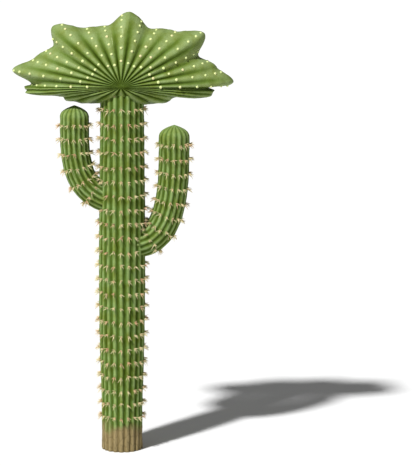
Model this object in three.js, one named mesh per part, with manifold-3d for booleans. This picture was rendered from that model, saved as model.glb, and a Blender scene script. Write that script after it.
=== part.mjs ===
// A crested saguaro: one ribbed trunk, two upturned arms and a pleated fan-shaped crest.
// Millimetres, +Z up, the fan's broad front towards -Y.
// The origin is the middle of the flat cut across the trunk's foot, at ground level.
import * as THREE from "three";
import { mergeVertices } from "three/addons/utils/BufferGeometryUtils.js";
import Module from "manifold-3d";

const wasm = await Module();
wasm.setup();

// Clearance between neighbouring pieces of flesh.
const GAP = 0.3;

// Trunk: ridge radius at each height, thickest at mid height.
const TRUNK = {
  ribs: 20,
  ribDepth: 16,
  profile: [
    { height: 0, radius: 211 },
    { height: 450, radius: 210 },
    { height: 1000, radius: 227 },
    { height: 1750, radius: 237 },
    { height: 2300, radius: 235 },
    { height: 3000, radius: 228 },
    { height: 3750, radius: 219 },
  ],
  rings: 11,
  facetsPerRib: 4,
};

const ARM_RIBS = 16;
const ARM_RIB_DEPTH = 13;
const ARM_FACETS_PER_RIB = 2;
// Distance of an arm's root from the trunk's middle.
const ARM_ROOT = 110;
// Height of the dome that an arm ends in.
const ARM_DOME = 125;
// Share of the dome's height over which its foot stays upright, and over which its top closes in.
const DOME_SHOULDER = 0.56;
const DOME_CROWN = 0.2;
// Arms: each leaves the trunk rising outwards at `rise` degrees, bends up once and runs to its tip.
// `lead` and `settle` are the lengths of the bend's two control arms, at the trunk and at the upright end.
const ARMS = [
  {
    name: "left_arm",
    side: -1,
    radius: 148,
    rootHeight: 2590,
    rise: 15,
    lead: 320,
    reach: 483,
    bendTop: 3293,
    settle: 396,
    tip: 3549,
  },
  {
    name: "right_arm",
    side: 1,
    radius: 156,
    rootHeight: 2142,
    rise: 3,
    lead: 315,
    reach: 527,
    bendTop: 3047,
    settle: 584,
    tip: 3354,
  },
];
// Share of the bend's length at which an arm is parted into its lower and upper piece.
const ARM_SPLIT = 0.55;
const ARM_LOWER_RINGS = 7;
const ARM_UPPER_RINGS = 6;
const DOME_RINGS = 5;

// Crest: a thick upright fan. Its pleats run from one pole on the front over the rim to one on the back.
// Its middle stands `setBack` behind the trunk's.
// `rise` and `droop` flatten the rim above and below the poles.
const CREST = {
  height: 3750,
  halfDepth: 325,
  setBack: 60,
  rise: 0.668,
  droop: 0.188,
  pleats: 32,
  pleatDepth: 15,
  pleatLossAtRim: 0.75,
  capAngle: 5,
  facetsPerPleat: 4,
  facetsAcross: 14,
};
// Lobes, shoulders and notches of the rim: direction in degrees from +X, and reach before the flattening.
const RIM = [
  { angle: 3, reach: 1126 },
  { angle: 16, reach: 996 },
  { angle: 30, reach: 890 },
  { angle: 44, reach: 1142 },
  { angle: 58, reach: 972 },
  { angle: 72, reach: 903 },
  { angle: 86.3, reach: 1106 },
  { angle: 99.5, reach: 913 },
  { angle: 112, reach: 932 },
  { angle: 127.5, reach: 1139 },
  { angle: 140.5, reach: 916 },
  { angle: 155, reach: 976 },
  { angle: 168.5, reach: 1138 },
  { angle: 179, reach: 925 },
  { angle: 186, reach: 1000 },
  { angle: 196, reach: 1014 },
  { angle: 206, reach: 1086 },
  { angle: 226, reach: 888 },
  { angle: 238, reach: 1030 },
  { angle: 250, reach: 1070 },
  { angle: 266, reach: 940 },
  { angle: 281, reach: 1089 },
  { angle: 293, reach: 1053 },
  { angle: 308, reach: 854 },
  { angle: 322, reach: 1090 },
  { angle: 341, reach: 985 },
  { angle: 352, reach: 885 },
];
// The fan's pieces, parted along the deep notches of the rim.
const CREST_PIECES = [
  { name: "crest_right", from: -90, to: 30 },
  { name: "crest_upper_right", from: 30, to: 72 },
  { name: "crest_top", from: 72, to: 99.5 },
  { name: "crest_upper_left", from: 99.5, to: 140.5 },
  { name: "crest_left", from: 140.5, to: 270 },
];

const FLESH = new THREE.Color("#6f8f45");
const CREST_FLESH = new THREE.Color("#86a457");

const radians = THREE.MathUtils.degToRad;
const { smoothstep, lerp, euclideanModulo } = THREE.MathUtils;

// How far a ribbed surface lies below its ridges: round ridges, sharp grooves, 1 at a groove's bottom.
function groove(turn, count) {
  return 1 - Math.abs(Math.cos((turn * count) / 2));
}

// A closed mesh as a solid for joining and cutting.
function solidOf(geometry) {
  const bare = geometry.clone();
  bare.deleteAttribute("normal");
  bare.deleteAttribute("uv");
  const merged = mergeVertices(bare, 1e-3);
  return new wasm.Manifold(
    new wasm.Mesh({
      numProp: 3,
      vertProperties: merged.getAttribute("position").array,
      triVerts: new Uint32Array(merged.index.array),
    }),
  );
}

// A solid back as a drawable geometry.
function geometryOf(solid) {
  const mesh = solid.getMesh();
  const geometry = new THREE.BufferGeometry();
  geometry.setAttribute("position", new THREE.BufferAttribute(mesh.vertProperties, 3));
  geometry.setIndex(new THREE.BufferAttribute(mesh.triVerts, 1));
  return geometry;
}

// Moves every vertex of a geometry to the place that `place` works out from where it was.
function reshape(geometry, place) {
  const position = geometry.getAttribute("position");
  const vertex = new THREE.Vector3();
  for (let i = 0; i < position.count; i += 1) {
    vertex.fromBufferAttribute(position, i);
    const moved = place(vertex);
    position.setXYZ(i, moved.x, moved.y, moved.z);
  }
  return geometry;
}

// A ribbed column turned about +Z from an outline of (radius, height) points, a ridge facing -Y.
function ribbedColumn(outline, ribs, ribDepth, fullRadius, facetsPerRib) {
  const lathe = new THREE.LatheGeometry(outline, ribs * facetsPerRib);
  lathe.rotateX(Math.PI / 2);
  return reshape(lathe, (v) => {
    const turn = Math.atan2(v.x, -v.y);
    const keep = 1 - (ribDepth / fullRadius) * groove(turn, ribs);
    return new THREE.Vector3(v.x * keep, v.y * keep, v.z);
  });
}

// The trunk, grown outwards by `grow`, up to the middle height of the crest.
function trunkGeometry(grow) {
  const knots = TRUNK.profile.map((k) => new THREE.Vector2(k.radius + grow, k.height));
  const side = new THREE.SplineCurve(knots).getPoints(TRUNK.rings);
  const outline = [new THREE.Vector2(0, 0), ...side, new THREE.Vector2(0, CREST.height)];
  return ribbedColumn(outline, TRUNK.ribs, TRUNK.ribDepth, TRUNK.profile[0].radius, TRUNK.facetsPerRib);
}

// An arm's centre line: one bend out of the trunk, then straight up to the tip.
function armPath(arm) {
  const root = new THREE.Vector3(arm.side * ARM_ROOT, 0, arm.rootHeight);
  const bendTop = new THREE.Vector3(arm.side * arm.reach, 0, arm.bendTop);
  const outwards = new THREE.Vector3(arm.side * Math.cos(radians(arm.rise)), 0, Math.sin(radians(arm.rise)));
  const leaving = root.clone().addScaledVector(outwards, arm.lead);
  const arriving = bendTop.clone().setZ(arm.bendTop - arm.settle);
  const path = new THREE.CurvePath();
  path.add(new THREE.CubicBezierCurve3(root, leaving, arriving, bendTop));
  path.add(new THREE.LineCurve3(bendTop, new THREE.Vector3(bendTop.x, 0, arm.tip)));
  return path;
}

// One piece of an arm: a ribbed column of (radius, length along the path) points, laid on the path.
function armGeometry(arm, path, outline) {
  const column = ribbedColumn(outline, ARM_RIBS, ARM_RIB_DEPTH, arm.radius, ARM_FACETS_PER_RIB);
  const length = path.getLength();
  return reshape(column, (v) => {
    const along = THREE.MathUtils.clamp(v.z / length, 0, 1);
    const centre = path.getPointAt(along);
    const heading = path.getTangentAt(along);
    const across = new THREE.Vector3(heading.z, 0, -heading.x);
    return centre.addScaledVector(across, v.x).setY(v.y);
  });
}

// The lower and the upper piece of an arm, as (radius, length along the path) outlines.
function armOutlines(arm, path) {
  const length = path.getLength();
  const parting = ARM_SPLIT * path.curves[0].getLength();
  const domeFoot = length - ARM_DOME;
  const dome = new THREE.CubicBezierCurve(
    new THREE.Vector2(arm.radius, domeFoot),
    new THREE.Vector2(arm.radius, domeFoot + DOME_SHOULDER * ARM_DOME),
    new THREE.Vector2(arm.radius / 2, length - DOME_CROWN * ARM_DOME),
    new THREE.Vector2(0, length),
  ).getPoints(DOME_RINGS);
  const straight = (from, to, rings) => {
    const side = new THREE.LineCurve(new THREE.Vector2(arm.radius, from), new THREE.Vector2(arm.radius, to));
    return side.getPoints(rings);
  };
  return {
    lower: [
      new THREE.Vector2(0, 0),
      ...straight(0, parting - GAP, ARM_LOWER_RINGS),
      new THREE.Vector2(0, parting - GAP),
    ],
    upper: [new THREE.Vector2(0, parting), ...straight(parting, domeFoot, ARM_UPPER_RINGS), ...dome.slice(1)],
  };
}

// The rim's reach in direction `angle`, easing from each named point of the rim to the next.
function rimReach(angle) {
  const last = RIM.length - 1;
  const turn = euclideanModulo(angle - RIM[0].angle, 360) + RIM[0].angle;
  const i = RIM.findLastIndex((knot) => knot.angle <= turn);
  const before = RIM[i];
  const after = i < last ? RIM[i + 1] : { angle: RIM[0].angle + 360, reach: RIM[0].reach };
  return lerp(before.reach, after.reach, smoothstep(turn, before.angle, after.angle));
}

// The whole fan, grown outwards by `grow`: a sphere about the Y axis drawn out to the rim, then pleated.
function crestGeometry(grow) {
  const sphere = new THREE.SphereGeometry(1, CREST.pleats * CREST.facetsPerPleat, CREST.facetsAcross);
  return reshape(sphere, (v) => {
    const round = Math.hypot(v.x, v.z);
    const turn = Math.atan2(v.z, v.x);
    const reach = rimReach(THREE.MathUtils.radToDeg(turn));
    const height = reach * (v.z > 0 ? CREST.rise : CREST.droop);
    const point = new THREE.Vector3(v.x * reach, v.y * CREST.halfDepth, v.z * height);
    const outwards = new THREE.Vector3(v.x / reach, v.y / CREST.halfDepth, v.z / height).normalize();
    const rise = smoothstep(round, 0, 2 * Math.sin(radians(CREST.capAngle)));
    const pleat = CREST.pleatDepth * rise * (1 - CREST.pleatLossAtRim * round ** 4);
    point.addScaledVector(outwards, grow - pleat * groove(turn, CREST.pleats));
    return point.add(new THREE.Vector3(0, CREST.setBack, CREST.height));
  });
}

// A flat-sided wedge about the Y axis that parts one piece of the fan from its neighbours.
function crestWedge(piece) {
  const far = 2 * RIM[0].reach;
  const direction = (angle) => {
    const upright = Math.sin(radians(angle)) > 0 ? CREST.rise : CREST.droop;
    return new THREE.Vector2(Math.cos(radians(angle)), upright * Math.sin(radians(angle))).normalize();
  };
  const first = direction(piece.from);
  const last = direction(piece.to);
  const halfAngle = first.angleTo(last) / 2;
  const apex = first.clone().add(last).setLength(GAP / 2 / Math.sin(halfAngle));
  const corners = [apex, apex.clone().addScaledVector(first, far)];
  const middle = direction((piece.from + piece.to) / 2);
  corners.push(apex.clone().addScaledVector(middle, 2 * far));
  corners.push(apex.clone().addScaledVector(last, far));
  const depth = 3 * CREST.halfDepth;
  const prism = new THREE.ExtrudeGeometry(new THREE.Shape(corners), { depth, bevelEnabled: false });
  prism.translate(0, 0, -depth / 2);
  prism.rotateX(Math.PI / 2);
  prism.translate(0, CREST.setBack, CREST.height);
  return prism;
}

// A named mesh of living flesh.
function fleshMesh(name, geometry, color) {
  const flesh = new THREE.MeshStandardMaterial({ color, roughness: 0.6, metalness: 0 });
  const mesh = new THREE.Mesh(geometry, flesh);
  mesh.name = name;
  return mesh;
}

const saguaro = new THREE.Group();

const crestClear = solidOf(crestGeometry(GAP));
const trunk = solidOf(trunkGeometry(0)).subtract(crestClear);
saguaro.add(fleshMesh("trunk", geometryOf(trunk), FLESH));

const trunkClear = solidOf(trunkGeometry(GAP));
for (const arm of ARMS) {
  const path = armPath(arm);
  const outlines = armOutlines(arm, path);
  const lower = solidOf(armGeometry(arm, path, outlines.lower)).subtract(trunkClear);
  saguaro.add(fleshMesh(`${arm.name}_lower`, geometryOf(lower), FLESH));
  saguaro.add(fleshMesh(`${arm.name}_upper`, armGeometry(arm, path, outlines.upper), FLESH));
}

const crest = solidOf(crestGeometry(0));
for (const piece of CREST_PIECES) {
  const part = crest.intersect(solidOf(crestWedge(piece)));
  saguaro.add(fleshMesh(piece.name, geometryOf(part), CREST_FLESH));
}

export default saguaro;
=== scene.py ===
"""A crested saguaro in a studio: ribbed trunk, upturned arms, a pleated fan for a crest, spines and wool.

Everything is in metres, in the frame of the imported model: +Z up, the crest's broad front towards -Y, the
origin in the middle of the flat cut under the trunk.
"""

import logging
import math
from abc import ABC, abstractmethod
from collections.abc import Sequence
from dataclasses import dataclass, field
from enum import Enum

import bmesh
import bpy
import numpy as np
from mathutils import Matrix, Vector


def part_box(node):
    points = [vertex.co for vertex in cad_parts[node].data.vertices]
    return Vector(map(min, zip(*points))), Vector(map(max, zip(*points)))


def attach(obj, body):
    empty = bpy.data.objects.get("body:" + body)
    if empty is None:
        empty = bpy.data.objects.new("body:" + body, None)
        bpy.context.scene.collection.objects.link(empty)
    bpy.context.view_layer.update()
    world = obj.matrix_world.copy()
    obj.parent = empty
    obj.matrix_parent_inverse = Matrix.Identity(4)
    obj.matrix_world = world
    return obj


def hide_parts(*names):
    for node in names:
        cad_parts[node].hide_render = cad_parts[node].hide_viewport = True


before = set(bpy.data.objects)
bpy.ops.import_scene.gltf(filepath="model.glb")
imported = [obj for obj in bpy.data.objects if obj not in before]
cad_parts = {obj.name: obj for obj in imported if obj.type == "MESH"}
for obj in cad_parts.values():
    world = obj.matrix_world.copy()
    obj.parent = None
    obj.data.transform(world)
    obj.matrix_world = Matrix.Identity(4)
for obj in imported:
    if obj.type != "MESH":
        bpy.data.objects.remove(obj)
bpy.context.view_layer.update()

LOG = logging.getLogger("saguaro")
BODY = "root"
Points = np.ndarray
Faces = list[tuple[int, ...]]
Layers = tuple[tuple[float, float], ...]
Span = tuple[float, float]
Tree = bpy.types.NodeTree
Socket = bpy.types.NodeSocket
Material = bpy.types.Material


class Slot(Enum):
    """Material slots of the record."""

    TRUNK = "trunk_flesh"
    ARM = "arm_flesh"
    CREST = "crest_flesh"
    SPINES = "spines"
    WOOL = "areole_wool"


# ---- Small tools ----


def linear(hex_colour: str) -> tuple[float, float, float, float]:
    """Turns an sRGB hex colour into linear light.

    Args:
        hex_colour: the colour as "#rrggbb".

    Returns:
        Red, green, blue and an alpha of 1.
    """
    channels = [int(hex_colour[i : i + 2], 16) / 255 for i in (1, 3, 5)]
    toe, slope = 0.04045, 12.92
    bent = [c / slope if c <= toe else ((c + 0.055) / 1.055) ** 2.4 for c in channels]
    return (bent[0], bent[1], bent[2], 1.0)


def add_node(
    tree: Tree,
    kind: str,
    settings: dict[str, object] | None = None,
    sockets: dict[str | int, object] | None = None,
) -> bpy.types.Node:
    """Adds one shader node with its settings, its values and its links.

    Args:
        tree: the material's node tree.
        kind: Blender's name for the node's type.
        settings: the node's own properties, by name.
        sockets: for each input, by name or number, a value or the output that feeds it.

    Returns:
        The new node.
    """
    node = tree.nodes.new(kind)
    for name, value in (settings or {}).items():
        setattr(node, name, value)
    for name, value in (sockets or {}).items():
        if isinstance(value, Socket):
            tree.links.new(value, node.inputs[name])
        else:
            node.inputs[name].default_value = value
    return node


def painted(tree: Tree, name: str) -> Socket:
    """A value that is painted on the piece's points."""
    return add_node(tree, "ShaderNodeAttribute", {"attribute_name": name}).outputs["Fac"]


def noise(tree: Tree, place: Socket, scale: float, detail: float, roughness: float = 0.5) -> Socket:
    """A cloudy pattern, mostly between 0.3 and 0.7: `scale` clouds to a metre, with finer ones in them."""
    sockets = {"Vector": place, "Scale": scale, "Detail": detail, "Roughness": roughness}
    return add_node(tree, "ShaderNodeTexNoise", sockets=sockets).outputs["Fac"]


def stretched(tree: Tree, value: Socket, found: Span, wanted: Span = (0.0, 1.0)) -> Socket:
    """Stretches the range `found` over the range `wanted` and holds the value within it."""
    sockets = {"Value": value, "From Min": found[0], "From Max": found[1]}
    sockets |= {"To Min": wanted[0], "To Max": wanted[1]}
    return add_node(tree, "ShaderNodeMapRange", sockets=sockets).outputs["Result"]


def reckoned(tree: Tree, operation: str, *values: Socket | float) -> Socket:
    """The result of one step of arithmetic, by Blender's name for it."""
    sockets = dict(enumerate(values))
    return add_node(tree, "ShaderNodeMath", {"operation": operation}, sockets).outputs["Value"]


def moved(tree: Tree, operation: str, *values: object) -> Socket:
    """The result of one step of arithmetic with vectors, by Blender's name for it."""
    sockets = dict(enumerate(values))
    return add_node(tree, "ShaderNodeVectorMath", {"operation": operation}, sockets).outputs["Vector"]


def mixed(tree: Tree, share: Socket, low: object, high: object, blend: str = "MIX") -> Socket:
    """A colour from `low` to `high`, each a colour or the output that gives one, by their share."""
    settings = {"data_type": "RGBA", "blend_type": blend}
    return add_node(tree, "ShaderNodeMix", settings, {0: share, 6: low, 7: high}).outputs[2]


def toned(tree: Tree, colour: Socket, light: Socket) -> Socket:
    """A colour made lighter or darker."""
    sockets = {"Color": colour, "Value": light}
    return add_node(tree, "ShaderNodeHueSaturation", sockets=sockets).outputs["Color"]


def raised(tree: Tree, height: Socket, strength: float, distance: float) -> Socket:
    """The normal of a surface that a pattern raises by so many metres."""
    sockets = {"Height": height, "Strength": strength, "Distance": distance}
    return add_node(tree, "ShaderNodeBump", sockets=sockets).outputs["Normal"]


def smooth(low: float, high: float, value: np.ndarray) -> np.ndarray:
    """Eases from 0 at `low` to 1 at `high`."""
    share = np.clip((value - low) / (high - low), 0.0, 1.0)
    return share * share * (3.0 - 2.0 * share)


def groove(turn: np.ndarray, count: int) -> np.ndarray:
    """Tells how far a ribbed surface lies below its ridges.

    Args:
        turn: directions round the piece, in radians, a ridge at 0.
        count: number of ribs in a full turn.

    Returns:
        0 on a ridge and 1 at the bottom of a groove: round ridges, narrow grooves with a small fillet.
    """
    fillet = 0.16
    rib = np.sqrt(np.cos(turn * count / 2) ** 2 * (1 - fillet**2) + fillet**2)
    return (1.0 - rib) / (1.0 - fillet)


def ripple(points: Points, size: float, seed: int) -> np.ndarray:
    """A smooth random unevenness.

    Args:
        points: places, one per row.
        size: the rough distance from one swelling to the next.
        seed: picks one pattern.

    Returns:
        A value for each point, mostly between -1 and 1.
    """
    waves = 9
    tightest, widest = 1.5, 0.6
    chance = np.random.default_rng(seed)
    headings = chance.normal(size=(waves, 3))
    headings /= np.linalg.norm(headings, axis=1)[:, None]
    pitch = 2 * math.pi / size * chance.uniform(widest, tightest, waves)
    phases = chance.uniform(0, 2 * math.pi, waves)
    return np.sin(points @ (headings * pitch[:, None]).T + phases).sum(axis=1) / math.sqrt(waves)


def unevenness(points: Points, layers: Layers, seed: int) -> np.ndarray:
    """Adds up ripples of several sizes.

    Args:
        points: places, one per row.
        layers: height and size of each ripple, in metres.
        seed: picks the first ripple's pattern, and the next ones' after it.

    Returns:
        How far each point lies above the even surface.
    """
    return sum(height * ripple(points, size, seed + i) for i, (height, size) in enumerate(layers))


def bezier(handles: Sequence[Sequence[float]], steps: int) -> Points:
    """Points along a cubic curve.

    Args:
        handles: the curve's start, its two control points and its end.
        steps: how many points to take.

    Returns:
        The points, evenly spread over the curve's own parameter.
    """
    t = np.linspace(0, 1, steps)[:, None]
    weights = [(1 - t) ** 3, 3 * (1 - t) ** 2 * t, 3 * (1 - t) * t**2, t**3]
    return sum(weight * np.asarray(handle) for weight, handle in zip(weights, handles))


@dataclass
class Surface:
    """The points, faces and painted values of a closed surface that is being made."""

    points: Points
    faces: Faces
    values: dict[str, np.ndarray] = field(default_factory=dict)

    @classmethod
    def from_rings(cls, rings: Points, low: Sequence[float], high: Sequence[float]) -> "Surface":
        """Skins a stack of closed rings and shuts both ends with a point.

        Args:
            rings: an array of rings by points by three, anticlockwise seen from the high end.
            low: the point that shuts the first ring.
            high: the point that shuts the last ring.

        Returns:
            The closed surface, its ring points first and then the two end points.
        """
        rows, columns = rings.shape[:2]
        index = np.arange(rows * columns).reshape(rows, columns)
        after = np.roll(index, -1, axis=1)
        quads = np.stack([index[:-1], after[:-1], after[1:], index[1:]], axis=-1).reshape(-1, 4)
        low_point, high_point = rows * columns, rows * columns + 1
        faces: Faces = [tuple(quad) for quad in quads.tolist()]
        faces += [(b, a, low_point) for a, b in zip(index[0].tolist(), after[0].tolist())]
        faces += [(a, b, high_point) for a, b in zip(index[-1].tolist(), after[-1].tolist())]
        return cls(np.vstack([rings.reshape(-1, 3), [low, high]]), faces)

    @classmethod
    def joined(cls, surfaces: Sequence["Surface"]) -> "Surface":
        """Puts several surfaces together in one, with their painted values."""
        starts = np.cumsum([0] + [len(s.points) for s in surfaces]).tolist()
        faces: Faces = []
        for surface, start in zip(surfaces, starts):
            faces += [tuple(i + start for i in face) for face in surface.faces]
        names = surfaces[0].values
        values = {name: np.concatenate([s.values[name] for s in surfaces]) for name in names}
        return cls(np.vstack([s.points for s in surfaces]), faces, values)

    def piece(
        self, name: str, material: Material, slot: Slot, replaced: Sequence[str] = ()
    ) -> bpy.types.Object:
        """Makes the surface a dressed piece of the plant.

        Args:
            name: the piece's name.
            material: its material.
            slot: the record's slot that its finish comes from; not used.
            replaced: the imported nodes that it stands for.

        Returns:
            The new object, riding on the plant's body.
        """
        mesh = bpy.data.meshes.new(name)
        mesh.from_pydata(self.points.tolist(), [], self.faces)
        for label, values in self.values.items():
            attribute = mesh.attributes.new(label, "FLOAT", "POINT")
            attribute.data.foreach_set("value", np.asarray(values, np.float32))
        mesh.materials.append(material)
        mesh.shade_smooth()
        mesh.update()
        made = bpy.data.objects.new(name, mesh)
        bpy.context.scene.collection.objects.link(made)
        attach(made, BODY)
        if replaced:
            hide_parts(*replaced)
        LOG.info("%s: %d points, %d faces", name, len(self.points), len(self.faces))
        return made


# ---- Finishes ----


class Finish(ABC):
    """A surface finish that can make its own material."""

    name: str

    def material(self) -> Material:
        """Makes the material and lets the finish lay its nodes out."""
        made = bpy.data.materials.new(self.name)
        made.use_nodes = True
        made.node_tree.nodes.clear()
        shader = self.shade(made.node_tree)
        add_node(made.node_tree, "ShaderNodeOutputMaterial", sockets={"Surface": shader.outputs[0]})
        return made

    @abstractmethod
    def shade(self, tree: Tree) -> bpy.types.Node:
        """Lays the nodes out and returns the shader that the surface ends in."""


@dataclass(frozen=True)
class WaxySkin(Finish):
    """Living saguaro skin: a grown, waxy cuticle, corky where the plant is oldest.

    It gives the eye pale yellow-green ridges, deep olive grooves between them, darkened further with painted
    shade, a soft satin gloss, and a tan, cracked foot. The point values "ridge" and "cork" say where each of
    these lies, and so where the painted shade falls.
    """

    name: str
    # Ridge, flank and groove colours, darker from the ridge down into the groove as painted shade; then the
    # yellow blush.
    ridge: str
    flank: str
    groove: str
    blush: str
    # The cork's ridge colour, and its groove colour darkened as painted shade.
    cork_ridge: str = "#90805b"
    cork_groove: str = "#786945"
    roughness: float = 0.5
    ior: float = 1.45
    bloom_gloss: float = 0.08
    wax: str = "#eef2c4"
    mottle_m: float = 0.12
    # Fine wrinkles run out from an axis along Y, where there are any: a point on that axis, how much
    # glossier, smoother and higher they are, how many go round, how soon each breaks off, and the width
    # over height of the fan they run in.
    wrinkles_about: tuple[float, float, float] = (0.0, 0.0, 0.0)
    wrinkle_gloss: float = 0.0
    wrinkle_polish: float = 0.0
    wrinkle_lift: float = 0.0
    wrinkle_count: float = 42.0
    wrinkle_breaks: float = 0.03
    wrinkle_spread: float = 1.5
    # Real pores are finer than this: the pattern is drawn coarser, so that it still shows.
    pore_m: float = 0.011
    crack_m: float = 0.03
    crack_stretch: float = 0.35

    def shade(self, tree: Tree) -> bpy.types.Node:
        """Lays out skin and cork, mixed by the painted values."""
        place = add_node(tree, "ShaderNodeTexCoord").outputs["Object"]
        ridge, cork = painted(tree, "ridge"), painted(tree, "cork")
        mottle = noise(tree, place, 1 / self.mottle_m, 4.0, 0.6)
        pores = noise(tree, place, 1 / self.pore_m, 2.0, 0.6)
        upright = {"Vector": place, "Scale": (1.0, 1.0, self.crack_stretch)}
        sockets = {
            "Vector": add_node(tree, "ShaderNodeMapping", sockets=upright).outputs["Vector"],
            "Scale": 1 / self.crack_m,
        }
        edges = add_node(tree, "ShaderNodeTexVoronoi", {"feature": "DISTANCE_TO_EDGE"}, sockets)
        cracks = edges.outputs["Distance"]
        skin = self.skin_colour(tree, ridge, mottle, pores)
        bark = self.cork_colour(tree, ridge, mottle, cracks)
        wrinkles = self.wrinkles(tree, place)
        gloss = reckoned(tree, "MULTIPLY", ridge, self.bloom_gloss)
        rough = stretched(tree, pores, (0.3, 0.7), (self.roughness - 0.07, self.roughness + 0.09))
        return add_node(
            tree,
            "ShaderNodeBsdfPrincipled",
            sockets={
                "Base Color": mixed(tree, cork, skin, bark),
                "Roughness": reckoned(tree, "MULTIPLY_ADD", wrinkles, -self.wrinkle_polish, rough),
                "IOR": self.ior,
                "Specular IOR Level": reckoned(tree, "MULTIPLY_ADD", wrinkles, self.wrinkle_gloss, gloss),
                "Specular Tint": linear(self.wax),
                "Normal": self.relief(tree, cork, pores, cracks, wrinkles),
            },
        )

    def skin_colour(self, tree: Tree, ridge: Socket, mottle: Socket, pores: Socket) -> Socket:
        """Green from groove to flank to ridge, darker in the grooves as painted shade, with a yellow blush
        and pale pores.
        """
        ramp = add_node(tree, "ShaderNodeValToRGB", sockets={"Fac": ridge})
        stops = ramp.color_ramp
        stops.elements[0].position, stops.elements[0].color = 0.05, linear(self.groove)
        stops.elements[1].position, stops.elements[1].color = 0.98, linear(self.ridge)
        middle = stops.elements.new(0.6)
        middle.color = linear(self.flank)
        share = stretched(tree, mottle, (0.40, 0.66), (0.0, 0.8))
        blushed = mixed(tree, share, ramp.outputs["Color"], linear(self.blush), "MULTIPLY")
        return toned(tree, blushed, stretched(tree, pores, (0.35, 0.7), (0.9, 1.12)))

    def cork_colour(self, tree: Tree, ridge: Socket, mottle: Socket, cracks: Socket) -> Socket:
        """Tan cork, darker in the grooves as painted shade, and darker in its cracks."""
        tan = mixed(tree, ridge, linear(self.cork_groove), linear(self.cork_ridge))
        depth = stretched(tree, cracks, (0.0, 0.1), (0.7, 1.0))
        patch = reckoned(tree, "MULTIPLY_ADD", mottle, 0.35, 0.83)
        return toned(tree, tan, reckoned(tree, "MULTIPLY", depth, patch))

    def wrinkles(self, tree: Tree, place: Socket) -> Socket:
        """Where the skin is drawn into fine wrinkles: a pattern of directions round the axis."""
        away = moved(tree, "SUBTRACT", place, self.wrinkles_about)
        flat = moved(tree, "MULTIPLY", away, (1.0, 0.0, self.wrinkle_spread))
        heading = moved(tree, "NORMALIZE", flat)
        drawn = moved(tree, "MULTIPLY_ADD", place, (self.wrinkle_breaks,) * 3, heading)
        return stretched(tree, noise(tree, drawn, self.wrinkle_count, 1.0), (0.56, 0.72))

    def relief(self, tree: Tree, cork: Socket, pores: Socket, cracks: Socket, wrinkles: Socket) -> Socket:
        """Fine pores everywhere, wrinkles on the crest, and cracks where the skin is cork."""
        cracked = reckoned(tree, "MULTIPLY", stretched(tree, cracks, (0.0, 0.12)), cork)
        pitted = reckoned(tree, "MULTIPLY_ADD", pores, 0.35, cracked)
        height = reckoned(tree, "MULTIPLY_ADD", wrinkles, self.wrinkle_lift, pitted)
        return raised(tree, height, 0.5, 0.003)


@dataclass(frozen=True)
class HornSpine(Finish):
    """Saguaro spine: a hard, dry, horn-like needle, grown and then weathered.

    It gives the eye straw-coloured clusters with browner roots, some clusters pinker than others.
    The point values "along" and "tint" run from root to tip and from cluster to cluster.
    """

    name: str = "horn_spine"
    root: str = "#8f6237"
    tip: str = "#d9cd9c"
    rose: str = "#cda57c"
    roughness: float = 0.55
    ior: float = 1.54
    # Real grain is finer than this, and so is the nap of the wool below.
    grain_m: float = 0.006

    def shade(self, tree: Tree) -> bpy.types.Node:
        """Root to tip colour, tinted by cluster, with a fine grain."""
        along, tint = painted(tree, "along"), painted(tree, "tint")
        grain = noise(tree, add_node(tree, "ShaderNodeTexCoord").outputs["Object"], 1 / self.grain_m, 2.0)
        pale = mixed(tree, tint, linear(self.tip), linear(self.rose))
        colour = mixed(tree, stretched(tree, along, (0.0, 0.35)), linear(self.root), pale)
        return add_node(
            tree,
            "ShaderNodeBsdfPrincipled",
            sockets={
                "Base Color": toned(tree, colour, stretched(tree, grain, (0.3, 0.7), (0.88, 1.1))),
                "Roughness": self.roughness,
                "IOR": self.ior,
                "Normal": raised(tree, grain, 0.3, 0.001),
            },
        )


@dataclass(frozen=True)
class AreoleFelt(Finish):
    """Areole wool: short plant hairs, grown dense and felted into a pad.

    It gives the eye a soft, pale tuft with no gloss and a slightly darker, uneven nap. The point value
    "tint" turns some tufts to a warmer cream.
    """

    name: str
    pale: str
    dark: str
    cream: str
    nap_m: float = 0.004
    roughness: float = 0.95
    sheen: float = 0.3

    def shade(self, tree: Tree) -> bpy.types.Node:
        """A nap that varies in colour and height."""
        place = add_node(tree, "ShaderNodeTexCoord").outputs["Object"]
        nap = noise(tree, place, 1 / self.nap_m, 3.0, 0.7)
        pale = mixed(tree, painted(tree, "tint"), linear(self.pale), linear(self.cream))
        return add_node(
            tree,
            "ShaderNodeBsdfPrincipled",
            sockets={
                "Base Color": mixed(tree, stretched(tree, nap, (0.35, 0.65)), linear(self.dark), pale),
                "Roughness": self.roughness,
                "Sheen Weight": self.sheen,
                "Normal": raised(tree, nap, 0.6, 0.002),
            },
        )


@dataclass(frozen=True)
class PaintedFloor(Finish):
    """Studio floor: matt white paint, rolled on, which gives the eye a clean ground and a soft shadow."""

    name: str = "matt_white_paint"
    paint: str = "#efefef"
    roughness: float = 0.9

    def shade(self, tree: Tree) -> bpy.types.Node:
        """One plain matt coat."""
        return add_node(
            tree,
            "ShaderNodeBsdfPrincipled",
            sockets={
                "Base Color": linear(self.paint),
                "Roughness": self.roughness,
                "Specular IOR Level": 0.0,
            },
        )


# ---- The plant ----


@dataclass
class Areoles:
    """Places on the skin where spines or wool grow, with the way out of the skin and the way up along it."""

    places: Points
    outwards: Points
    upwards: Points

    @classmethod
    def together(cls, sets: Sequence["Areoles"]) -> "Areoles":
        """Joins several sets into one."""
        parts = zip(*((s.places, s.outwards, s.upwards) for s in sets))
        return cls(*(np.vstack(part) for part in parts))

    def kept(self, keep: np.ndarray) -> "Areoles":
        """Only those areoles for which `keep` is true."""
        return Areoles(self.places[keep], self.outwards[keep], self.upwards[keep])


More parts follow.
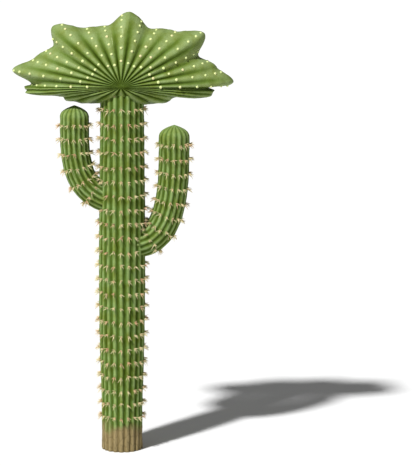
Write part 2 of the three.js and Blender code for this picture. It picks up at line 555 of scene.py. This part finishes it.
@dataclass
class Crest:
    """The upright fan: a thick body whose pleats run from a pole in front over the rim to one behind."""

    pleats: int = 32
    pleat_depth: float = 0.015
    pleat_loss_at_rim: float = 0.75
    cap_angle: float = math.radians(5)
    rise: float = 0.668
    droop: float = 0.188
    points_per_pleat: int = 16
    rows: int = 116
    wool_first: float = math.radians(21.4)
    wool_step: float = math.radians(11.5)
    wool_per_row: int = 6
    waver: float = 0.012
    layers: Layers = ((0.0022, 0.14), (0.0008, 0.03))
    seed: int = 41
    # Tones of the skin, which hold the painted shade in the grooves and under the lower half: the angles
    # from a pole, in radians, between which each change happens.
    grooves_open: Span = (0, math.radians(3))
    skin_pales: Span = (0, math.radians(15))
    grooves_widen: Span = (math.radians(6), math.radians(24))
    grooves_fade: Span = (math.radians(19), math.radians(74))
    shade_ends: Span = (0.9, 1.5)
    # How much of a groove's painted shade is lost at the rim above and below, the tones at a pole, and how
    # strong the painted shade under the lower half is.
    fade_above: float = 0.8
    fade_below: float = 0.3
    pole_tone: float = 0.55
    pole_ridge: float = 0.2
    under_shade: float = 0.25
    groove_widening: float = 0.5
    # Lobes, shoulders and notches of the rim: direction in degrees from +X, reach before the flattening.
    rim: tuple[tuple[float, float], ...] = (
        (3, 1.126), (16, 0.996), (30, 0.890), (44, 1.142), (58, 0.972), (72, 0.903), (86.3, 1.106),
        (99.5, 0.913), (112, 0.932), (127.5, 1.139), (140.5, 0.916), (155, 0.976), (168.5, 1.138),
        (179, 0.925), (186, 1.000), (196, 1.014), (206, 1.086), (226, 0.888), (238, 1.030),
        (250, 1.070), (266, 0.940), (281, 1.089), (293, 1.053), (308, 0.854), (322, 1.090),
        (341, 0.985), (352, 0.885),
    )

    def __post_init__(self) -> None:
        """Takes the height of the poles, the fan's half depth and how far back it stands from the model."""
        low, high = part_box("crest_top")
        self.height = low.z
        self.half_depth = (high.y - low.y) / 2
        self.set_back = (high.y + low.y) / 2

    def reach(self, turn: np.ndarray) -> np.ndarray:
        """The rim's reach in each direction, easing from each named point of the rim to the next.

        Args:
            turn: directions in radians from +X.

        Returns:
            Reach in metres, before the fan is flattened.
        """
        angles = np.array([angle for angle, _ in self.rim] + [self.rim[0][0] + 360])
        reaches = np.array([far for _, far in self.rim] + [self.rim[0][1]])
        degrees = np.mod(np.degrees(turn) - angles[0], 360) + angles[0]
        i = np.clip(np.searchsorted(angles, degrees, side="right") - 1, 0, len(self.rim) - 1)
        share = (degrees - angles[i]) / (angles[i + 1] - angles[i])
        return reaches[i] + (reaches[i + 1] - reaches[i]) * share * share * (3 - 2 * share)

    def surface(self, turn: np.ndarray, tilt: np.ndarray) -> tuple[Points, Points, np.ndarray]:
        """Points of the skin.

        Args:
            turn: directions round the poles' axis, in radians from +X.
            tilt: angles from the front pole, in radians.

        Returns:
            The points, the ways out of the smooth fan, and how far each lies down a groove.
        """
        reach = self.reach(turn)
        upright = np.where(np.sin(turn) > 0, self.rise, self.droop)
        x = np.sin(tilt) * np.cos(turn)
        y = -np.cos(tilt)
        z = np.sin(tilt) * np.sin(turn)
        points = np.stack([x * reach, y * self.half_depth, z * reach * upright], axis=-1)
        outwards = np.stack([x / reach, y / self.half_depth, z / (reach * upright)], axis=-1)
        outwards /= np.linalg.norm(outwards, axis=-1, keepdims=True)
        low = groove(turn, self.pleats)
        start = smooth(0, 2 * math.sin(self.cap_angle), np.sin(tilt))
        depth = self.pleat_depth * start * (1 - self.pleat_loss_at_rim * np.sin(tilt) ** 4)
        points = points - outwards * (depth * low)[..., None] + [0, self.set_back, self.height]
        return points, outwards, low

    def tone(self, turn: np.ndarray, from_pole: np.ndarray, low: np.ndarray) -> np.ndarray:
        """How pale the skin is painted: dark round a pole, with painted shade down the grooves and where the
        lower half faces down, evening out towards the rim.

        Args:
            turn: directions round the poles' axis, in radians from +X.
            from_pole: angle from the nearer pole, in radians.
            low: how far down a groove each place lies.

        Returns:
            0 where the skin is darkest and 1 where it is palest.
        """
        upright = np.sin(turn)
        start = smooth(*self.grooves_open, from_pole)
        most = np.where(upright > 0, self.fade_above, self.fade_below)
        fading = most * smooth(*self.grooves_fade, from_pole)
        near = 1 - smooth(*self.grooves_widen, from_pole)
        widened = low ** (1 - self.groove_widening * near)
        # Painted shade where the lower half faces down: strongest beside its level edges and near the pole.
        shade_below = (upright < 0) * (1 - np.abs(upright)) * (1 - smooth(*self.shade_ends, from_pole))
        pale = self.pole_tone + (1 - self.pole_tone) * smooth(*self.skin_pales, from_pole)
        return pale * (1 - self.under_shade * shade_below) * (1 - start * (1 - fading) * widened)

    def underside(self, x: np.ndarray, y: np.ndarray) -> np.ndarray:
        """Height of the fan's lower face over each point near the trunk."""
        across = np.clip(1 - ((y - self.set_back) / self.half_depth) ** 2, 0, 1)
        reach = self.reach(np.full_like(x, math.radians(270)))
        return self.height - self.droop * np.sqrt(np.clip(reach**2 * across - x**2, 0, None))

    def build_skin(self, skin: Material) -> bpy.types.Object:
        """Makes the fan's pleated skin."""
        columns = self.pleats * self.points_per_pleat
        turn = np.linspace(0, 2 * math.pi, columns, endpoint=False)
        tilt = np.linspace(0, math.pi, self.rows + 2)[1:-1]
        turns, tilts = np.meshgrid(turn, tilt)
        # The pleats waver a little on their way from pole to pole.
        waver = self.waver * np.sin(3 * tilts + 1.3) * np.sin(5 * turns + 0.4) * np.sin(tilts)
        points, outwards, low = self.surface(turns + waver, tilts)
        flat = points.reshape(-1, 3)
        uneven = unevenness(flat, self.layers, self.seed)
        shaped = flat + outwards.reshape(-1, 3) * uneven[:, None]
        front = (0, self.set_back - self.half_depth, self.height)
        back = (0, self.set_back + self.half_depth, self.height)
        made = Surface.from_rings(shaped.reshape(points.shape), front, back)
        from_pole = np.minimum(tilts, math.pi - tilts)
        # The "ridge" value carries the painted tones: darker round the poles, painted shade in the grooves
        # and under the lower half.
        tones = self.tone(turns, from_pole, low).reshape(-1)
        made.values["ridge"] = np.append(tones, [self.pole_ridge] * 2)
        made.values["cork"] = np.zeros(len(made.points))
        nodes = [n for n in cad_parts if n.startswith("crest_")]
        return made.piece("crest_skin", skin, Slot.CREST, nodes)

    def wool(self) -> Areoles:
        """The woolly areoles: rows along the upper pleats, in front and behind."""
        ridges = np.arange(self.pleats // 2 + 1) * 2 * math.pi / self.pleats
        front = self.wool_first + self.wool_step * np.arange(self.wool_per_row)
        tilt = np.concatenate([front, math.pi - front])
        turns, tilts = (grid.reshape(-1) for grid in np.meshgrid(ridges, tilt))
        places, outwards, _ = self.surface(turns, tilts)
        upwards = np.tile([0.0, 0.0, 1.0], (len(places), 1))
        return Areoles(places, outwards, upwards)


class Ribbed:
    """What the trunk and the arms share: rings of areoles, on ribs that swell a little at each."""

    ribs: int
    ring_scatter: float
    swelling: float
    swelling_length: float
    seed: int
    rows_of_areoles: np.ndarray

    def deal_areoles(self, rows: np.ndarray) -> None:
        """Puts an areole on each rib near each of these distances from the piece's start."""
        chance = np.random.default_rng(self.seed)
        scatter = chance.uniform(-1, 1, (len(rows), self.ribs)) * self.ring_scatter
        self.rows_of_areoles = rows[:, None] + scatter

    def spots(self) -> tuple[np.ndarray, np.ndarray]:
        """Direction round the piece, in radians, and distance from its start, for every areole."""
        rib = np.broadcast_to(np.arange(self.ribs), self.rows_of_areoles.shape).reshape(-1)
        return rib * 2 * math.pi / self.ribs, self.rows_of_areoles.reshape(-1)

    def swell(self, turns: np.ndarray, alongs: np.ndarray, low: np.ndarray) -> np.ndarray:
        """How much the nearest areole raises each place of the skin: all on the ridge, none in a groove."""
        rib = np.rint(turns * self.ribs / (2 * math.pi)).astype(int) % self.ribs
        away = np.abs(alongs[None] - self.rows_of_areoles[:, rib]).min(axis=0)
        return self.swelling * np.exp(-((away / self.swelling_length) ** 2)) * (1 - low)


@dataclass
class Trunk(Ribbed):
    """The upright column that everything grows from."""

    ribs: int = 20
    rib_depth: float = 0.016
    # Ridge radius at each height.
    profile: tuple[tuple[float, float], ...] = (
        (0, 0.211), (0.45, 0.210), (1.0, 0.227), (1.75, 0.237), (2.3, 0.235), (3.0, 0.228), (3.75, 0.219),
    )
    points_per_rib: int = 16
    row_step: float = 0.017
    first_ring: float = 0.360
    ring_step: float = 0.1434
    rings: int = 24
    ring_scatter: float = 0.011
    swelling: float = 0.0022
    swelling_length: float = 0.022
    waver: float = 0.012
    layers: Layers = ((0.0014, 0.12), (0.0006, 0.028))
    # Corky foot: its height, the softness of its edge and how far and wide that edge wanders.
    cork_top: float = 0.24
    cork_blend: float = 0.06
    cork_wander: float = 0.035
    cork_wander_length: float = 0.22
    # Its bark: the relief, how far it lies below the skin, and the size and lengthening of its scales.
    bark_relief: float = 0.0022
    bark_sunk: float = 0.001
    bark_scale: float = 0.03
    bark_stretch: float = 0.3
    seed: int = 11

    def __post_init__(self) -> None:
        """Deals out the areoles, one for each rib in each ring."""
        self.deal_areoles(self.first_ring + self.ring_step * np.arange(self.rings))

    def radius(self, height: np.ndarray) -> np.ndarray:
        """Ridge radius at each height, on a smooth curve through the profile."""
        heights = np.array([h for h, _ in self.profile])
        radii = np.array([r for _, r in self.profile])
        slopes = np.gradient(radii, heights)
        i = np.clip(np.searchsorted(heights, height, side="right") - 1, 0, len(heights) - 2)
        span = heights[i + 1] - heights[i]
        t = (height - heights[i]) / span
        return (
            (2 * t**3 - 3 * t**2 + 1) * radii[i]
            + (t**3 - 2 * t**2 + t) * span * slopes[i]
            + (3 * t**2 - 2 * t**3) * radii[i + 1]
            + (t**3 - t**2) * span * slopes[i + 1]
        )

    def build_skin(self, skin: Material, top: float) -> bpy.types.Object:
        """Makes the ribbed skin from the ground to inside the crest.

        Args:
            skin: the skin's material.
            top: the height at which it ends.

        Returns:
            The new piece.
        """
        heights = np.linspace(0, top, round(top / self.row_step))
        turn = np.linspace(0, 2 * math.pi, self.ribs * self.points_per_rib, endpoint=False)
        turns, levels = np.meshgrid(turn, heights)
        waver = self.waver * np.sin(2.1 * levels + 2 * turns) * np.sin(math.pi * levels / top)
        low = groove(turns, self.ribs)
        radius = self.radius(levels) - self.rib_depth * low + self.swell(turns, levels, low)
        angle = turns + waver
        rings = np.stack([radius * np.sin(angle), -radius * np.cos(angle), levels], axis=-1)
        flat = rings.reshape(-1, 3)
        outwards = flat * [1, 1, 0] / np.linalg.norm(flat[:, :2], axis=1)[:, None]
        edge = self.cork_top + self.cork_wander * ripple(flat, self.cork_wander_length, self.seed + 3)
        cork = 1 - smooth(-self.cork_blend, self.cork_blend, flat[:, 2] - edge)
        uneven = unevenness(flat, self.layers, self.seed + 1)
        scales = ripple(flat * [1, 1, self.bark_stretch], self.bark_scale, self.seed + 4)
        bark = cork * (self.bark_relief * scales - self.bark_sunk)
        shaped = flat + outwards * (uneven + bark)[:, None]
        made = Surface.from_rings(shaped.reshape(rings.shape), (0, 0, 0), (0, 0, top))
        # 1 on a ridge and 0 in a groove: the skin's colour paints shade into the grooves by it.
        made.values["ridge"] = np.append((1 - low).reshape(-1), [0, 0])
        made.values["cork"] = np.append(cork, [1, 0])
        return made.piece("trunk_skin", skin, Slot.TRUNK, ["trunk"])

    def areoles(self) -> Areoles:
        """One areole on each ridge in each ring."""
        turn, height = self.spots()
        outwards = np.stack([np.sin(turn), -np.cos(turn), np.zeros_like(turn)], axis=-1)
        places = outwards * (self.radius(height) + self.swelling)[:, None]
        places[:, 2] = height
        upwards = np.tile([0.0, 0.0, 1.0], (len(places), 1))
        return Areoles(places, outwards, upwards)


@dataclass
class Arm(Ribbed):
    """An arm: it leaves the trunk sideways, turns up through one bend and ends in a dome."""

    name: str
    side: int
    root_height: float
    lead: float
    leave_rise: float
    bend_top: float
    settle: float
    seed: int
    ribs: int = 16
    rib_depth: float = 0.013
    root: float = 0.110
    dome: float = 0.125
    dome_shoulder: float = 0.56
    dome_crown: float = 0.2
    points_per_rib: int = 14
    rows: int = 112
    first_ring: float = 0.195
    ring_step: float = 0.146
    ring_scatter: float = 0.010
    swelling: float = 0.002
    swelling_length: float = 0.02
    layers: Layers = ((0.0012, 0.11), (0.0005, 0.026))
    dome_rows: int = 32
    # Towards the tip grooves lose part of their depth and of their painted shade. Starts and ends in heights
    # of the dome.
    softening_starts: float = 2.0
    softening_ends: float = 0.4
    depth_lost: float = 0.3
    dark_lost: float = 0.4

    def __post_init__(self) -> None:
        """Works out the centre line and deals out the areoles along the ribs."""
        low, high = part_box(f"{self.name}_upper")
        self.radius = high.y
        self.tip = high.z
        outer = high.x if self.side > 0 else low.x
        self.reach = outer - self.side * self.radius
        self.line = self.centre_line()
        steps = np.linalg.norm(np.diff(self.line, axis=0), axis=1)
        self.stations = np.concatenate([[0], np.cumsum(steps)])
        self.length = float(self.stations[-1])
        rings = int((self.length - self.first_ring) / self.ring_step) + 1
        self.deal_areoles(self.length - self.first_ring - self.ring_step * np.arange(rings))

    def centre_line(self) -> Points:
        """Points along the arm's middle, from inside the trunk to the tip."""
        start = np.array([self.side * self.root, 0, self.root_height])
        leave = np.array([self.side * math.cos(self.leave_rise), 0, math.sin(self.leave_rise)])
        end = np.array([self.reach, 0, self.bend_top])
        bend = bezier([start, start + leave * self.lead, end - [0, 0, self.settle], end], 160)
        rest = np.linspace(self.bend_top, self.tip, 60)[1:]
        straight = np.stack([np.full_like(rest, self.reach), np.zeros_like(rest), rest], axis=-1)
        return np.vstack([bend, straight])

    def frame_at(self, along: np.ndarray) -> tuple[Points, Points, Points]:
        """Centre, way across and way along at each distance from the root."""
        heading = np.gradient(self.line, self.stations, axis=0)
        centre = np.stack([np.interp(along, self.stations, self.line[:, k]) for k in range(3)], axis=-1)
        way = np.stack([np.interp(along, self.stations, heading[:, k]) for k in range(3)], axis=-1)
        way /= np.linalg.norm(way, axis=-1, keepdims=True)
        across = np.stack([way[..., 2], np.zeros_like(way[..., 0]), -way[..., 0]], axis=-1)
        return centre, across, way

    def ridge_radius(self, along: np.ndarray) -> np.ndarray:
        """Radius of the ridges at each distance from the root: even, then a pointed dome."""
        foot = self.length - self.dome
        handles = [
            (self.radius, foot),
            (self.radius, foot + self.dome_shoulder * self.dome),
            (self.radius / 2, self.length - self.dome_crown * self.dome),
            (0.0, self.length),
        ]
        radii, places = bezier(handles, 80).T
        return np.where(along < foot, self.radius, np.interp(along, places, radii))

    def build_skin(self, skin: Material) -> bpy.types.Object:
        """Makes the arm's ribbed skin, with its bend and its dome."""
        straight = np.linspace(0, self.length - self.dome, self.rows)
        ease = np.sin(np.linspace(0, math.pi / 2, self.dome_rows + 2)[1:-1])
        along = np.concatenate([straight, self.length - self.dome * (1 - ease)])
        turn = np.linspace(0, 2 * math.pi, self.ribs * self.points_per_rib, endpoint=False)
        turns, alongs = np.meshgrid(turn, along)
        low = groove(turns, self.ribs)
        swell = self.swell(turns, alongs, low)
        ridge = self.ridge_radius(alongs)
        starts = self.length - self.softening_starts * self.dome
        softening = smooth(starts, self.length - self.softening_ends * self.dome, alongs)
        low = low * (1 - self.depth_lost * softening)
        radius = ridge * (1 - self.rib_depth / self.radius * low) + swell
        centre, across, _ = self.frame_at(alongs)
        outwards = across * np.sin(turns)[..., None] + np.array([0, -1, 0]) * np.cos(turns)[..., None]
        rings = centre + outwards * radius[..., None]
        flat = rings.reshape(-1, 3)
        fade = (ridge / self.radius).reshape(-1)
        uneven = unevenness(flat, self.layers, self.seed + 1)
        shaped = flat + outwards.reshape(-1, 3) * (fade * uneven)[:, None]
        made = Surface.from_rings(shaped.reshape(rings.shape), self.line[0], self.line[-1])
        # The grooves' painted shade, weaker towards the tip.
        tones = 1 - low * (1 - self.dark_lost * softening)
        made.values["ridge"] = np.append(tones.reshape(-1), [0, 1])
        made.values["cork"] = np.zeros(len(made.points))
        nodes = [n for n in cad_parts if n.startswith(self.name)]
        return made.piece(f"{self.name}_skin", skin, Slot.ARM, nodes)

    def areoles(self) -> Areoles:
        """One areole on each ridge in each ring."""
        turn, along = self.spots()
        inside = along > 0
        turn, along = turn[inside], along[inside]
        centre, across, way = self.frame_at(along)
        outwards = across * np.sin(turn)[:, None] + np.array([0, -1, 0]) * np.cos(turn)[:, None]
        places = centre + outwards * (self.ridge_radius(along) + self.swelling)[:, None]
        return Areoles(places, outwards, way)

    def distance(self, places: Points) -> np.ndarray:
        """Distance of each place from the arm's centre line."""
        return np.linalg.norm(places[:, None] - self.line[None, ::4], axis=2).min(axis=1)


@dataclass
class SpineClusters:
    """Star-shaped clusters of stout spines, one on each areole of the trunk and the arms."""

    spines: int = 5
    length: float = 0.065
    width: float = 0.0105
    splay: float = math.radians(26)
    droop: float = 0.18
    stand_off: float = 0.050
    sides: int = 6
    curve: float = 0.10
    turn_scatter: float = 0.22
    splay_scatter: float = math.radians(12)
    length_range: Span = (0.8, 1.04)
    lower_longer: float = 0.2
    rosy_rarity: int = 3
    # Where a spine's rings stand along its length, and how wide each is against the widest.
    stations: tuple[float, ...] = (-0.08, 0.25, 0.6, 1.0)
    taper: tuple[float, ...] = (1.0, 0.82, 0.48, 0.08)
    seed: int = 5

    def build(self, areoles: Areoles, horn: Material) -> bpy.types.Object:
        """Grows every cluster and joins them in one piece.

        Args:
            areoles: where the clusters stand.
            horn: the spines' material.

        Returns:
            The new piece.
        """
        chance = np.random.default_rng(self.seed)
        count = len(areoles.places) * self.spines
        root = np.repeat(areoles.places, self.spines, axis=0)
        out = np.repeat(areoles.outwards, self.spines, axis=0)
        up = np.repeat(areoles.upwards, self.spines, axis=0)
        side = np.cross(up, out)
        around = np.tile(np.arange(self.spines) * 2 * math.pi / self.spines, len(areoles.places))
        around += np.repeat(chance.uniform(0, 2 * math.pi, len(areoles.places)), self.spines)
        around += chance.normal(0, self.turn_scatter, count)
        splay = self.splay + chance.normal(0, self.splay_scatter, count)
        spread = side * np.sin(around)[:, None] + up * np.cos(around)[:, None]
        heading = out * np.cos(splay)[:, None] + spread * np.sin(splay)[:, None] - up * self.droop
        heading /= np.linalg.norm(heading, axis=1)[:, None]
        length = self.length * chance.uniform(*self.length_range, count)
        length *= 1 - self.lower_longer * np.cos(around)
        # No spine stands further off the skin than the plant's longest do.
        length = np.minimum(length, self.stand_off / np.sum(heading * out, axis=1))
        tint = np.repeat(chance.uniform(0, 1, len(areoles.places)) ** self.rosy_rarity, self.spines)
        stations = np.array(self.stations)
        widths = np.array(self.taper) * self.width / 2
        across = np.cross(heading, out)
        across /= np.linalg.norm(across, axis=1)[:, None]
        other = np.cross(heading, across)
        circle = np.arange(self.sides) * 2 * math.pi / self.sides
        cosines, sines = np.cos(circle)[None, :, None], np.sin(circle)[None, :, None]
        ring = across[:, None] * cosines + other[:, None] * sines
        bow = up * (self.curve * length)[:, None]
        middle = (
            root[:, None]
            + heading[:, None] * (stations[None] * length[:, None])[..., None]
            - bow[:, None] * (stations**2)[None, :, None]
        )
        points = middle[:, :, None] + ring[:, None] * widths[None, :, None, None]
        rows = len(stations)
        index = np.arange(rows * self.sides).reshape(rows, self.sides)
        after = np.roll(index, -1, axis=1)
        quads = np.stack([index[:-1], index[1:], after[1:], after[:-1]], axis=-1).reshape(-1, 4)
        starts = (np.arange(count) * rows * self.sides)[:, None, None]
        faces: Faces = [tuple(face) for face in (quads[None] + starts).reshape(-1, 4).tolist()]
        faces += [tuple(face) for face in (index[0][None] + starts[:, 0]).tolist()]
        faces += [tuple(face) for face in (index[-1][::-1][None] + starts[:, 0]).tolist()]
        shares = np.broadcast_to(np.clip(stations, 0, 1)[None, :, None], points.shape[:3])
        tints = np.broadcast_to(tint[:, None, None], points.shape[:3])
        values = {"along": shares.reshape(-1), "tint": tints.reshape(-1)}
        return Surface(points.reshape(-1, 3), faces, values).piece("spines", horn, Slot.SPINES)


@dataclass
class WoolTufts:
    """Small felted tufts, one on each areole."""

    name: str
    radius: float
    flatness: float
    sunk: float
    seed: int
    detail: int = 2
    size_range: Span = (0.92, 1.08)
    lump_height: float = 0.07
    lump_size: float = 0.9
    cream_rarity: int = 4

    def build(self, areoles: Areoles, felt: Material) -> bpy.types.Object:
        """Makes a lumpy tuft on every areole and joins them in one piece.

        Args:
            areoles: where the tufts sit.
            felt: the tufts' material.

        Returns:
            The new piece.
        """
        ball = bpy.data.meshes.new("tuft_ball")
        self.fill_ball(ball)
        shape = np.array([v.co for v in ball.vertices])
        faces = [tuple(p.vertices) for p in ball.polygons]
        bpy.data.meshes.remove(ball)
        chance = np.random.default_rng(self.seed)
        tufts = []
        for place, out, up in zip(areoles.places, areoles.outwards, areoles.upwards):
            side = np.cross(up, out)
            side /= np.linalg.norm(side)
            size = self.radius * chance.uniform(*self.size_range)
            elsewhere = chance.uniform(-9, 9, 3)
            lumps = 1 + self.lump_height * ripple(shape + elsewhere, self.lump_size, self.seed)
            turned = shape * lumps[:, None] * size
            axes = np.stack([side, np.cross(out, side), out * self.flatness])
            tint = np.full(len(shape), chance.uniform() ** self.cream_rarity)
            tufts.append(Surface(place - out * self.sunk * size + turned @ axes, faces, {"tint": tint}))
        return Surface.joined(tufts).piece(self.name, felt, Slot.WOOL)

    def fill_ball(self, mesh: bpy.types.Mesh) -> None:
        """Fills a mesh with a round ball of triangles."""
        shell = bmesh.new()
        bmesh.ops.create_icosphere(shell, subdivisions=self.detail, radius=1.0)
        shell.to_mesh(mesh)
        shell.free()


@dataclass
class Saguaro:
    """The whole plant."""

    crest: Crest = field(default_factory=Crest)
    trunk: Trunk = field(default_factory=Trunk)
    left: Arm = field(
        default_factory=lambda: Arm(
            "left_arm",
            side=-1,
            root_height=2.590,
            lead=0.320,
            leave_rise=math.radians(15),
            bend_top=3.293,
            settle=0.396,
            seed=23,
        )
    )
    right: Arm = field(
        default_factory=lambda: Arm(
            "right_arm",
            side=1,
            root_height=2.142,
            lead=0.315,
            leave_rise=math.radians(3),
            bend_top=3.047,
            settle=0.584,
            seed=31,
        )
    )
    # How far the trunk's skin ends below the crest's poles, and its spines and pads below the crest.
    trunk_end: float = 0.02
    spine_clearance: float = 0.012
    pad_clearance: float = -0.006
    # How far the areoles keep from an arm's skin and from the trunk's.
    arm_clearance: float = 0.004
    trunk_clearance: float = 0.006

    def build(self) -> None:
        """Makes the skins, then the spines and the wool on them."""
        # Ridge, flank, groove and blush colours; flank and groove are darkened as painted shade in the
        # grooves.
        trunk_skin = WaxySkin("waxy_trunk_skin", "#83995c", "#557033", "#4b6022", "#d6cc84")
        arm_skin = WaxySkin("waxy_arm_skin", "#849a5e", "#576f35", "#4b6022", "#d8d088")
        crest_skin = WaxySkin(
            "waxy_crest_skin",
            "#869861",
            "#607733",
            "#2a3a04",
            "#dedaa0",
            wrinkles_about=(0.0, self.crest.set_back, self.crest.height),
            wrinkle_gloss=0.5,
            wrinkle_polish=0.18,
            wrinkle_lift=0.8,
        )
        self.trunk.build_skin(trunk_skin.material(), self.crest.height - self.trunk_end)
        arm_material = arm_skin.material()
        for arm in (self.left, self.right):
            arm.build_skin(arm_material)
        self.crest.build_skin(crest_skin.material())
        on_arms = [self.arm_areoles(self.left), self.arm_areoles(self.right)]
        spiny = Areoles.together([self.trunk_areoles(self.spine_clearance), *on_arms])
        SpineClusters().build(spiny, HornSpine().material())
        areoles = Areoles.together([self.trunk_areoles(self.pad_clearance), *on_arms])
        pad_felt = AreoleFelt("felted_areole_pad", "#b49a6c", "#7d6a45", "#b08f70")
        WoolTufts("areole_pads", 0.0085, 0.45, 0.1, seed=7, detail=1).build(areoles, pad_felt.material())
        tuft_felt = AreoleFelt("felted_crest_wool", "#e2efa8", "#c9d384", "#ecd0ae")
        WoolTufts("crest_wool", 0.0142, 0.85, 0.1, seed=9).build(self.crest.wool(), tuft_felt.material())

    def trunk_areoles(self, clearance: float) -> Areoles:
        """The trunk's areoles that no arm covers and that lie this far below the crest."""
        found = self.trunk.areoles()
        x, y, height = found.places.T
        clear = height < self.crest.underside(x, y) - clearance
        for arm in (self.left, self.right):
            clear &= arm.distance(found.places) > arm.radius + self.arm_clearance
        return found.kept(clear)

    def arm_areoles(self, arm: Arm) -> Areoles:
        """An arm's areoles that stand clear of the trunk."""
        found = arm.areoles()
        away = np.linalg.norm(found.places[:, :2], axis=1)
        return found.kept(away > self.trunk.radius(found.places[:, 2]) + self.trunk_clearance)


# ---- The studio ----


@dataclass
class Studio:
    """A pale floor, one soft key light, a plain white surround and the camera."""

    floor_size: float = 900.0
    surround: float = 0.172
    key_strength: float = 4.4
    key_from: tuple[float, float, float] = (-0.523, -0.729, 1.0)
    key_softness: float = math.radians(4.35)
    view_azimuth: float = math.radians(2.3)
    distance: float = 20.867
    eye_height: float = 5.319
    pitch: float = math.radians(8.38)
    lens: float = 159.87
    sensor: float = 36.0
    sideways_shift: float = 0.1886

    def build(self) -> None:
        """Sets floor, lights and camera up."""
        self.lay_floor()
        self.light()
        self.place_camera()
        bpy.context.scene.view_settings.view_transform = "Standard"

    def lay_floor(self) -> None:
        """Lays the floor at ground level."""
        half = self.floor_size / 2
        mesh = bpy.data.meshes.new("studio_floor")
        corners = [(-half, -half, 0), (half, -half, 0), (half, half, 0), (-half, half, 0)]
        mesh.from_pydata(corners, [], [(0, 1, 2, 3)])
        mesh.materials.append(PaintedFloor().material())
        floor = bpy.data.objects.new("studio_floor", mesh)
        bpy.context.scene.collection.objects.link(floor)

    def light(self) -> None:
        """Lights the plant from the front left, over a plain white surround."""
        world = bpy.data.worlds.new("white_surround")
        world.use_nodes = True
        backdrop = world.node_tree.nodes["Background"]
        backdrop.inputs["Color"].default_value = (1.0, 1.0, 1.0, 1.0)
        backdrop.inputs["Strength"].default_value = self.surround
        bpy.context.scene.world = world
        sun = bpy.data.lights.new("key_light", "SUN")
        sun.energy = self.key_strength
        sun.angle = self.key_softness
        key = bpy.data.objects.new("key_light", sun)
        key.rotation_mode = "QUATERNION"
        key.rotation_quaternion = Vector(self.key_from).to_track_quat("Z", "Y")
        bpy.context.scene.collection.objects.link(key)

    def place_camera(self) -> None:
        """Stands the camera in front of the plant, a little to its right and above its crest."""
        lens = bpy.data.cameras.new("camera")
        lens.sensor_fit = "VERTICAL"
        lens.sensor_height = self.sensor
        lens.lens = self.lens
        lens.shift_x = self.sideways_shift
        lens.clip_end = self.floor_size
        camera = bpy.data.objects.new("camera", lens)
        camera.location = (
            self.distance * math.sin(self.view_azimuth),
            -self.distance * math.cos(self.view_azimuth),
            self.eye_height,
        )
        camera.rotation_euler = (math.pi / 2 - self.pitch, 0, self.view_azimuth)
        bpy.context.scene.collection.objects.link(camera)
        bpy.context.scene.camera = camera


def main() -> None:
    """Builds the plant and the studio."""
    logging.basicConfig(level=logging.INFO, format="%(name)s: %(message)s")
    Saguaro().build()
    Studio().build()


if __name__ == "__main__":
    main()
